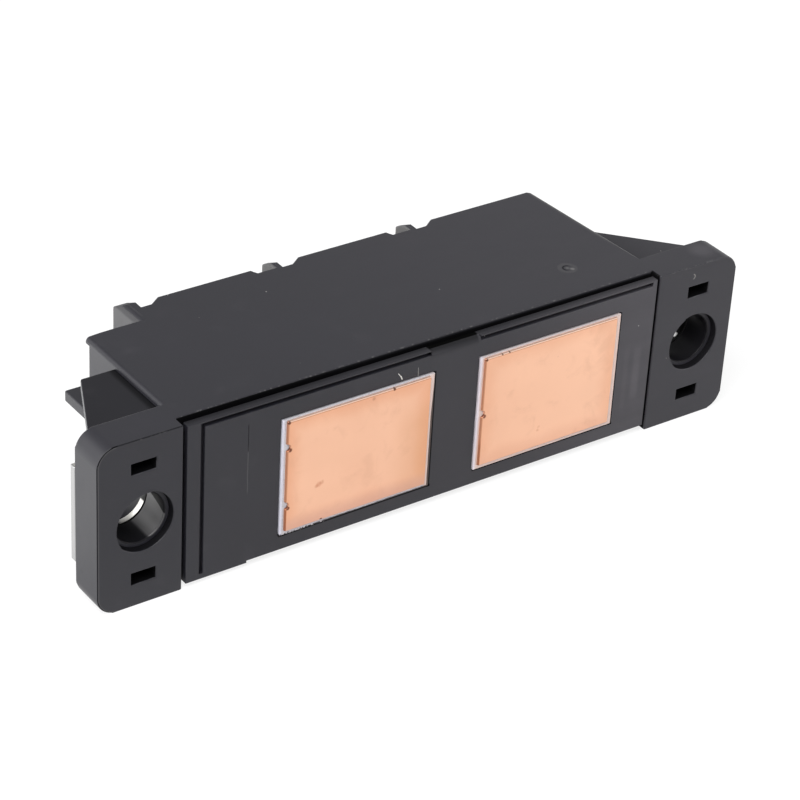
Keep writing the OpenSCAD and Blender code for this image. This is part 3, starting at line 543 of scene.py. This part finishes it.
def bonded_copper():
    """Matt copper sheet: pale middle, orange rim, cloudy oxide, a painted highlight on the etched top edge,
    tarnish and spots.
    """
    material, f = new_finish("bonded_copper")
    place, x, _, z = own_axes(f)
    cloud = f.noise(place, 0.16, detail=4, roughness=0.55)
    stain = f.step(f.noise(place, 0.3, detail=5, roughness=0.6, distortion=0.6), 0.5, 0.75)
    grain = f.noise(f.stretched(place, (1.0, 1.0, 7.0)), 1.6, detail=4, roughness=0.65)
    off_left, off_right = [abs(x - pad) for pad in PADS_X]
    across = PAD_HALF[0] - off_left.minimum(off_right)
    inset = across.minimum(PAD_HALF[1] - abs(z))
    rim = f.step(inset + 1.6 * (cloud - 0.5), 2.6, 0.0)
    colour = f.blend(cloud, rgb(0.855, 0.5, 0.34), rgb(0.935, 0.59, 0.415))
    colour = f.blend(0.5 * f.step(x, 3, 26), colour, rgb(0.98, 0.62, 0.44))
    colour = f.blend(rim * (0.5 - 0.2 * f.step(x, 2, 5)), colour, rgb(0.77, 0.36, 0.2))
    colour = f.blend(stain * 0.3, colour, rgb(0.7, 0.39, 0.26))
    # Darker brown towards the right end of the left pad
    darker_brown_patch = f.step(x, -7.5, -2.0) * f.step(x, 3, 1) * f.step(z, 6, 1)
    colour = f.blend(darker_brown_patch * 0.34, colour, rgb(0.67, 0.34, 0.165))
    pink = f.step(z, -5.2, -7.3) * (0.34 - 0.24 * f.step(x, 0, 4))
    colour = f.blend(pink, colour, rgb(0.58, 0.38, 0.36))
    colour = f.blend(specks(f, place, 4.5, 0.3, 0.15) * 0.4, colour, rgb(0.4, 0.17, 0.1))
    # Painted highlight as a thin pale line at the etched top edge, with a thin brown line just below it
    below_top = PAD_HALF[1] - z
    colour = f.blend(f.line(below_top, 0.19, 0.02, 0.04) * 0.55, colour, rgb(0.36, 0.13, 0.06))
    colour = f.blend(f.line(below_top, 0.04, 0.06, 0.04) * 0.6, colour, rgb(0.86, 0.7, 0.62))
    for pad in PADS_X:
        from_left = x - (pad - PAD_HALF[0])
        tarnish = f.line(from_left, 0.1, 0.06, 0.06) * (0.55 + 0.3 * f.step(z, -3.5, -5.0))
        colour = f.blend(tarnish, colour, rgb(0.36, 0.11, 0.045))
    torn = f.step(f.noise(place, 1.7, detail=3), 0.25, 0.55)
    for spot_x, spot_z, size in COPPER_STAINS:
        spot = f.step(f.distance(x, z, (spot_x, spot_z)), size, 0.2 * size)
        colour = f.blend(spot * torn * 0.42, colour, rgb(0.56, 0.2, 0.11))
    for spot_x, spot_z, size in COPPER_SPOTS:
        spot = f.step(f.distance(x, z, (spot_x, spot_z)), size, 0.45 * size)
        colour = f.blend(spot * 0.9, colour, rgb(0.11, 0.03, 0.018))
    roughness = 0.42 + 0.12 * cloud + 0.08 * (grain - 0.5)
    f.surface(Base_Color=colour, Roughness=roughness, Metallic=1.0, Normal=f.bump(grain, 0.004))
    return material


def plated_metal(name, bright, dull, roughness):
    """Plated metal: faint drawn grain along x and a cloudy film.

    The mounting plates have grey sheared ends, and painted shade in their holes, except on a lit stretch in
    each, which in the right hole is a painted highlight.
    """
    material, f = new_finish(name)
    place, x, h, z = own_axes(f)
    cloud = f.noise(place, 0.4, detail=3)
    grain = f.noise(f.stretched(place, (0.5, 6.0, 6.0)), 2.2, detail=3)
    colour = f.blend(cloud, rgb(*dull), rgb(*bright))
    sheared = f.step(abs(x), FLANGE_END_X - 0.2, FLANGE_END_X - 0.1)
    colour = f.blend(sheared, colour, rgb(0.36, 0.36, 0.36))
    in_hole = f.step(f.distance(abs(x) - HOLE_X, z), BORE_RADIUS + 0.2, BORE_RADIUS + 0.1)
    # Painted shade on the hole walls, with the lit stretches left out and the right one painted bright
    lit_right = f.inside(z, -2.55, -2.32, 0.16) * f.step(h, 5.33, 5.55) * f.step(x, 0, 1)
    lit_left = f.step(x, -40.25, -39.95) * f.step(z, -1.1, -1.35) * f.step(h, 5.14, 5.22) * f.step(x, 0, -1)
    colour = f.blend(in_hole * (1 - lit_left - lit_right), colour, rgb(0.02, 0.02, 0.02))
    colour = f.blend(in_hole * lit_right, colour, rgb(0.97, 0.97, 0.96))
    rough = roughness + 0.1 * cloud + 0.06 * (grain - 0.5)
    f.surface(Base_Color=colour, Roughness=rough, Metallic=1.0, Normal=f.bump(grain, 0.003))
    return material


def sawn_silicon():
    """Diode chip: dark polished silicon with a slight metal haze."""
    material, f = new_finish("sawn_silicon")
    haze = f.noise(f.millimetres(), 0.8, detail=3)
    colour = f.blend(haze, rgb(0.16, 0.17, 0.2), rgb(0.26, 0.27, 0.3))
    f.surface(Base_Color=colour, Roughness=0.15 + 0.1 * haze, Metallic=0.6)
    return material


def clear_gel():
    """Soft silicone gel: nearly clear, with faint clouds."""
    material, f = new_finish("clear_gel")
    haze = f.noise(f.millimetres(), 0.3, detail=2)
    colour = f.blend(haze, rgb(0.86, 0.89, 0.91), rgb(0.93, 0.95, 0.96))
    f.surface(Base_Color=colour, Roughness=0.08 + 0.08 * haze, Transmission_Weight=0.9, IOR=1.41)
    return material


BLACK_TONE = (0.0105, 0.0102, 0.0145)
FINISH_OF_SLOT = {
    "housing_plastic": moulded_black("housing_plastic", BLACK_TONE, housing_marks),
    "frame_plastic": moulded_black("frame_plastic", BLACK_TONE, frame_marks),
    "ceramic": fired_ceramic(),
    "copper": bonded_copper(),
    "plated_steel": plated_metal("zinc_plating", (0.73, 0.72, 0.68), (0.6, 0.59, 0.56), 0.32),
    "nickel": plated_metal("nickel_plating", (0.74, 0.71, 0.66), (0.62, 0.59, 0.54), 0.28),
    "silicon": sawn_silicon(),
    "gel": clear_gel(),
}
SLOT_OF_NODE = {part["node"]: part["material_slot"] for part in frame["record"]["subparts"]}


def finish_solid(solid, slot):
    """Puts a slot's finish on every material slot of an object."""
    material = FINISH_OF_SLOT[slot]
    if not solid.data.materials:
        solid.data.materials.append(material)
    for holder in solid.material_slots:
        holder.material = material


def dress(piece, node, added=False):
    """Gives a piece the finish of a solid, which the piece replaces unless it is added to it."""
    slot = SLOT_OF_NODE[node]
    finish_solid(piece, slot)
    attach(piece, "root")
    if not added:
        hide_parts(node)


def ends_in_cusp(edge):
    """True where an outer edge leaves a corner nearly along a hollow one: rounding would fold the face."""
    for corner in edge.verts:
        way = (edge.other_vert(corner).co - corner.co).normalized()
        for other in corner.link_edges:
            if other is not edge and not other.is_convex and other.calc_face_angle(0.0) > CRISP_TURN:
                along = (other.other_vert(corner).co - corner.co).normalized()
                if way.dot(along) > math.cos(CUSP_ANGLE):
                    return True
    return False


def softened(node, radius):
    """Copy of a solid: loose triangles merged, flat faces joined, and sharp outer edges rounded to radius."""
    mesh = frame["nodes"][node].data.copy()
    mesh.name = node + "_soft"
    shape = bmesh.new()
    shape.from_mesh(mesh)
    bmesh.ops.remove_doubles(shape, verts=shape.verts, dist=COPY_MERGE * MM)
    bmesh.ops.dissolve_limit(shape, angle_limit=FLAT_TURN, verts=shape.verts, edges=shape.edges)
    weight = shape.edges.layers.float.new("bevel_weight_edge")
    for edge in shape.edges:
        turn = edge.calc_face_angle(0.0)
        edge[weight] = float(edge.is_convex and turn > ROUNDED_TURN and not ends_in_cusp(edge))
        edge.smooth = edge[weight] > 0 or turn < CRISP_TURN
    for face in shape.faces:
        face.smooth = True
    shape.to_mesh(mesh)
    shape.free()
    piece = bpy.data.objects.new(node + "_soft", mesh)
    bpy.context.scene.collection.objects.link(piece)
    edges = piece.modifiers.new("rounded_edges", "BEVEL")
    edges.limit_method = "WEIGHT"
    edges.width = radius * MM
    edges.segments = EDGE_SEGMENTS
    edges.use_clamp_overlap = False
    even = piece.modifiers.new("even_shading", "WEIGHTED_NORMAL")
    even.keep_sharp = True
    dress(piece, node)


def mesh_piece(name, node, points, faces, added=False):
    """Smooth piece in the finish of a solid, from points (x, h, z) and faces as lists of indices."""
    mesh = bpy.data.meshes.new(name)
    mesh.from_pydata((points - (0.0, HEAT_SINK_Y, -MIDDLE_Z)) * MM, [], faces)
    shape = bmesh.new()
    shape.from_mesh(mesh)
    bmesh.ops.remove_doubles(shape, verts=shape.verts, dist=PIECE_MERGE * MM)
    bmesh.ops.recalc_face_normals(shape, faces=shape.faces)
    for edge in shape.edges:
        edge.smooth = edge.calc_face_angle(0.0) < CRISP_TURN
    for face in shape.faces:
        face.smooth = True
    shape.to_mesh(mesh)
    shape.free()
    piece = bpy.data.objects.new(name, mesh)
    bpy.context.scene.collection.objects.link(piece)
    dress(piece, node, added)


def grid_faces(rows, columns, grids=1, ring=False):
    """Quads of grids of points, one grid after another: rows close, and a ring's last row joins its first."""
    row = np.arange(rows if ring else rows - 1)[:, None]
    column = np.arange(columns)[None, :]
    after = (row + 1) % rows
    beside = (column + 1) % columns
    corners = ((row, column), (row, beside), (after, beside), (after, column))
    quads = np.stack([r * columns + c for r, c in corners], -1).reshape(-1, 4)
    starts = np.arange(grids)[:, None, None] * rows * columns
    return (starts + quads).reshape(-1, 4).tolist()


def pad_outline(middle, nicks, inset):
    """Closed outline of a copper pad as x and z: a rounded rectangle, its left side bitten by circles.

    An inset draws the rectangle in and lets the circles grow by as much.
    """
    reach = np.array(PAD_HALF) - inset - PAD_CORNER
    turn = np.linspace(0, np.pi / 2, 6)
    arc = np.stack([np.cos(turn), np.sin(turn)], -1) * PAD_CORNER
    spin = np.array([[0, 1], [-1, 0]])
    parts = []
    for quarter, signs in enumerate(((1, 1), (-1, 1), (-1, -1), (1, -1))):
        parts.append(arc @ np.linalg.matrix_power(spin, quarter) + reach * signs)
        if quarter == 1:
            down = np.linspace(reach[1], -reach[1], 320)[1:-1]
            grown = NICK_RADIUS + inset
            bites = [np.sqrt(np.clip(grown ** 2 - (down - nick) ** 2, 0, None)) for nick in nicks]
            parts.append(np.stack([np.maximum(inset, np.max(bites, 0)) - PAD_HALF[0], down], -1))
    return np.concatenate(parts) + (middle, 0.0)


def etched_pad(name, node, middle, nicks):
    """Copper pad with an etched edge: its outline stepped in along a hollow shoulder, then a flat face."""
    rings = [np.insert(pad_outline(middle, nicks, inset), 1, h, axis=1) for inset, h in PAD_SHOULDER]
    count = len(rings[0])
    faces = grid_faces(len(rings), count)
    last = (len(rings) - 1) * count
    faces.append(list(range(last, last + count)))
    faces.append(list(range(count - 1, -1, -1)))
    mesh_piece(name, node, np.concatenate(rings), faces)


def turned(radius, height, foot, middle, angles):
    """Points round an axis that crosses the face at a middle, from radius, height over a foot and angle."""
    x = middle + radius * np.cos(angles)
    z = radius * np.sin(angles)
    return np.stack([x, height + foot + 0 * x, z], -1).reshape(-1, 3)


def hole_lips():
    """Lips in the counterbores: a six-cornered section carried along an arc, as wide as a blunt half wave."""
    sweep = np.linspace(0, np.pi, 48)[:, None]
    wave = np.sin(sweep).clip(0, None)
    swell = wave ** 0.8
    wall = np.full_like(sweep, COUNTERBORE["radius"])
    covering = wall + LIP["cover"] * wave ** 0.3
    rise = np.array([COUNTERBORE["depth"], LIP["chamfer"], -LIP["proud"]])
    height = np.concatenate([rise, rise[::-1]])
    lips = []
    for hole, first, last, width in HOLE_LIPS:
        angle = np.radians(first) + np.radians(last - first) * sweep / np.pi
        inner = wall - width * swell
        radius = np.concatenate([inner, inner, inner + LIP["chamfer"] * swell, covering, wall, wall], 1)
        lips.append(turned(radius, height, 0.0, hole, angle))
    faces = grid_faces(len(sweep), len(height), len(lips))
    mesh_piece("hole_lips", "housing", np.concatenate(lips), faces, added=True)


def squared(wave, power):
    """A wave pushed towards its peaks: its size raised to a power below 1, its sign kept."""
    return np.sign(wave) * np.abs(wave) ** power


def flat_washers():
    """Flat washers: a rectangle with rounded corners turned round each terminal's axis."""
    turn = np.linspace(0, 2 * np.pi, 24, endpoint=False)[:, None]
    angles = np.linspace(0, 2 * np.pi, 72, endpoint=False)[None, :]
    width = FLAT_WASHER["outer"] - FLAT_WASHER["inner"]
    radius = FLAT_WASHER["inner"] + width * (1 + squared(np.cos(turn), 0.25)) / 2
    height = FLAT_WASHER["height"] * (1 + squared(np.sin(turn), 0.35)) / 2
    washers = [turned(radius, height, FLAT_WASHER["foot"], x, angles) for x in TERMINALS_X]
    faces = grid_faces(turn.size, angles.size, len(washers), ring=True)
    mesh_piece("flat_washers_turned", "flat_washers", np.concatenate(washers), faces)


def spring_washers():
    """Spring washers: a rounded square section swept once round and lifted by a share of its height."""
    around = np.linspace(HALF_SPLIT, 2 * np.pi - HALF_SPLIT, 90)
    closing = np.concatenate([[0.0, 0.85], np.ones(len(around)), [0.85, 0.0]])[:, None]
    around = np.concatenate([around[:1], around[:1], around, around[-1:], around[-1:]])[:, None]
    turn = np.linspace(0, 2 * np.pi, 20, endpoint=False)[None, :]
    half = (SPRING_WASHER["outer"] - SPRING_WASHER["inner"]) / 2
    radius = SPRING_WASHER["inner"] + half + half * squared(np.cos(turn), 0.3) * closing
    lift = SPRING_LIFT * SPRING_WASHER["height"]
    thick = SPRING_WASHER["height"] - lift
    height = thick / 2 + lift * around / (2 * np.pi) + thick / 2 * squared(np.sin(turn), 0.3) * closing
    washers = []
    for x, spun in zip(TERMINALS_X, SPLIT_TURNS):
        washers.append(turned(radius, height, SPRING_WASHER["foot"], x, around + spun))
    faces = grid_faces(closing.size, turn.size, len(washers))
    mesh_piece("spring_washers_swept", "spring_washers", np.concatenate(washers), faces)


def cross_recess(x, z):
    """Depth of the cross recess: two crossed arms with steep sides that get deeper towards the middle."""
    def arm(along, off):
        wall = np.clip((RECESS["half"] - np.abs(off)) / RECESS["wall"], 0, 1)
        slope = np.clip((RECESS["reach"] - np.abs(along)) / RECESS["run"], 0, 1)
        return RECESS["depth"] * wall * slope ** 0.7
    return np.maximum(arm(x, z), arm(z, x))


def terminal_screws():
    """Pan-head screws: a turned profile, the head sunk by a cross and the shank waved by a helix."""
    shank = np.linspace(-SHANK["length"], -SHANK["neck"], 70)
    tip = np.clip((shank + SHANK["length"]) / SHANK["tip"], 0, 1)
    shank_radius = SHANK["radius"] + SHANK["tip"] * (tip - 1)
    head_turn = np.linspace(0, np.pi / 2, 70)
    dome = SCREW["radius"] * np.cos(head_turn) ** 0.7
    crown = SCREW["rim"] + (SCREW["head"] - SCREW["rim"]) * np.sin(head_turn) ** 0.8
    underside = [SHANK["radius"], SCREW["bearing"], SCREW["radius"]]
    radius = np.concatenate([[0.0], shank_radius, underside, dome, [0.0]])[:, None]
    bearing_height = [0.0, 0.0, SCREW["chamfer"]]
    height = np.concatenate([shank[:1], shank, bearing_height, crown, [SCREW["head"]]])[:, None]
    head_rows = len(head_turn) + 1
    threaded = np.concatenate([[0.0], tip, np.zeros(len(underside) + head_rows)])[:, None]
    on_head = np.concatenate([np.zeros(len(radius) - head_rows), np.ones(head_rows)])[:, None]
    angles = np.linspace(0, 2 * np.pi, 120, endpoint=False)[None, :]
    wave = np.abs((height / SHANK["pitch"] - angles / (2 * np.pi)) % 1 - 0.5) * 2
    radius = radius - SHANK["thread"] * wave * threaded
    height = height - on_head * cross_recess(radius * np.cos(angles), radius * np.sin(angles))
    screws = []
    for x, spun in zip(TERMINALS_X, CROSS_TURNS):
        screws.append(turned(radius, height, SCREW["foot"], x, angles + spun))
    faces = grid_faces(len(radius), angles.size, len(screws))
    mesh_piece("terminal_screws_turned", "terminal_screws", np.concatenate(screws), faces)


for name, solid in frame["nodes"].items():
    finish_solid(solid, SLOT_OF_NODE[name])
etched_pad("base_copper_left_etched", "base_copper_left", PADS_X[0], PAD_NICKS[0])
etched_pad("base_copper_right_etched", "base_copper_right", PADS_X[1], PAD_NICKS[1])
hole_lips()
flat_washers()
spring_washers()
terminal_screws()
for name, radius in EDGE_RADIUS.items():
    softened(name, radius)


def ray_kinds(f):
    """Signals that are 1 for the camera's rays, for mirrored rays, and for both and rays through glass."""
    path = f.node("ShaderNodeLightPath")
    camera_ray, glossy, through = f.outputs(path, "Is Camera Ray", "Is Glossy Ray", "Is Transmission Ray")
    return camera_ray, glossy, camera_ray + glossy + through


def flat_floor():
    """Level sheet under the module, a two-by-two grid: white where it is seen, with the module's shadow.

    Mirrored rays also meet a brighter pool on its left, which stands for a lit panel.
    """
    half = FLOOR_HALF * MM
    corners = [(-half, -half, 0), (half, -half, 0), (half, half, 0), (-half, half, 0)]
    mesh = bpy.data.meshes.new("floor")
    mesh.from_pydata(corners, [], [(0, 1, 2, 3)])
    floor = bpy.data.objects.new("floor", mesh)
    bpy.context.scene.collection.objects.link(floor)
    material, f = new_finish("pale_floor")
    _, glossy, seen = ray_kinds(f)
    paper = f.node("ShaderNodeBsdfDiffuse", None, {"Color": rgb(0.92, 0.92, 0.92)})
    x, y, _ = f.axes(f.millimetres())
    pool = f.step(x, -18, -45) * f.step(x, -170, -120) * f.step(y, -30, 5) * f.step(y, 120, 80)
    mirrored = (0.9 + 0.3 * f.step(y, 12, 22) + 1.3 * f.step(y, 30, 48)) * pool - 0.15
    white = f.node("ShaderNodeEmission", None, {"Color": rgb(1, 1, 1), "Strength": 1 + mirrored * glossy})
    mixed = f.node("ShaderNodeMixShader", None, {0: seen * 0.8, 1: paper, 2: white})
    f.node("ShaderNodeOutputMaterial", None, {"Surface": mixed})
    mesh.materials.append(material)


def studio_world():
    """White surroundings, with a dim top and a window for what is mirrored; even soft light for the rest."""
    world = bpy.data.worlds.new("studio")
    world.use_nodes = True
    bpy.context.scene.world = world
    f = Finish(world.node_tree)
    camera_ray, _, seen = ray_kinds(f)
    direction = f.node("ShaderNodeTexCoord", output="Generated")
    east, north, rise = f.axes(direction)
    window = f.step(east, -0.2, -0.5) * f.step(north, 0.2, 0.6) * f.step(rise, 0.1, 0.4)
    mirrored = 1 - 0.45 * f.step(rise, 0.05, 0.42) + 2.1 * window
    strength = camera_ray + (1 - camera_ray) * mirrored
    ambient = f.node("ShaderNodeBackground", None, {"Color": rgb(1, 1, 1), "Strength": 0.6})
    white = f.node("ShaderNodeBackground", None, {"Color": rgb(1, 1, 1), "Strength": strength})
    mixed = f.node("ShaderNodeMixShader", None, {0: seen, 1: ambient, 2: white})
    f.node("ShaderNodeOutputWorld", None, {"Surface": mixed})


def soft_box(name, place, target, size, watts):
    """Square area lamp at a place, turned to a target, both in millimetres."""
    lamp = bpy.data.lights.new(name, "AREA")
    lamp.size = size * MM
    lamp.energy = watts
    box = bpy.data.objects.new(name, lamp)
    box.location = Vector(place) * MM
    box.rotation_euler = (Vector(target) - Vector(place)).to_track_quat("-Z", "Y").to_euler()
    bpy.context.scene.collection.objects.link(box)


def camera():
    """Camera on a line through its aim, turned about that line by the roll."""
    look = Vector((
        math.sin(AZIMUTH) * math.cos(ELEVATION),
        math.cos(AZIMUTH) * math.cos(ELEVATION),
        -math.sin(ELEVATION),
    ))
    level = look.cross(Vector((0, 0, 1))).normalized()
    above = level.cross(look)
    right = level * math.cos(ROLL) + above * math.sin(ROLL)
    up = above * math.cos(ROLL) - level * math.sin(ROLL)
    data = bpy.data.cameras.new("camera")
    data.lens = LENS
    data.sensor_width = SENSOR
    eye = bpy.data.objects.new("camera", data)
    turn = Matrix((right, up, -look)).transposed().to_4x4()
    eye.matrix_world = Matrix.Translation((AIM - look * DISTANCE) * MM) @ turn
    bpy.context.scene.collection.objects.link(eye)
    bpy.context.scene.camera = eye


flat_floor()
studio_world()
for lamp in LAMPS:
    soft_box(*lamp)
camera()
bpy.context.scene.view_settings.view_transform = "Standard"
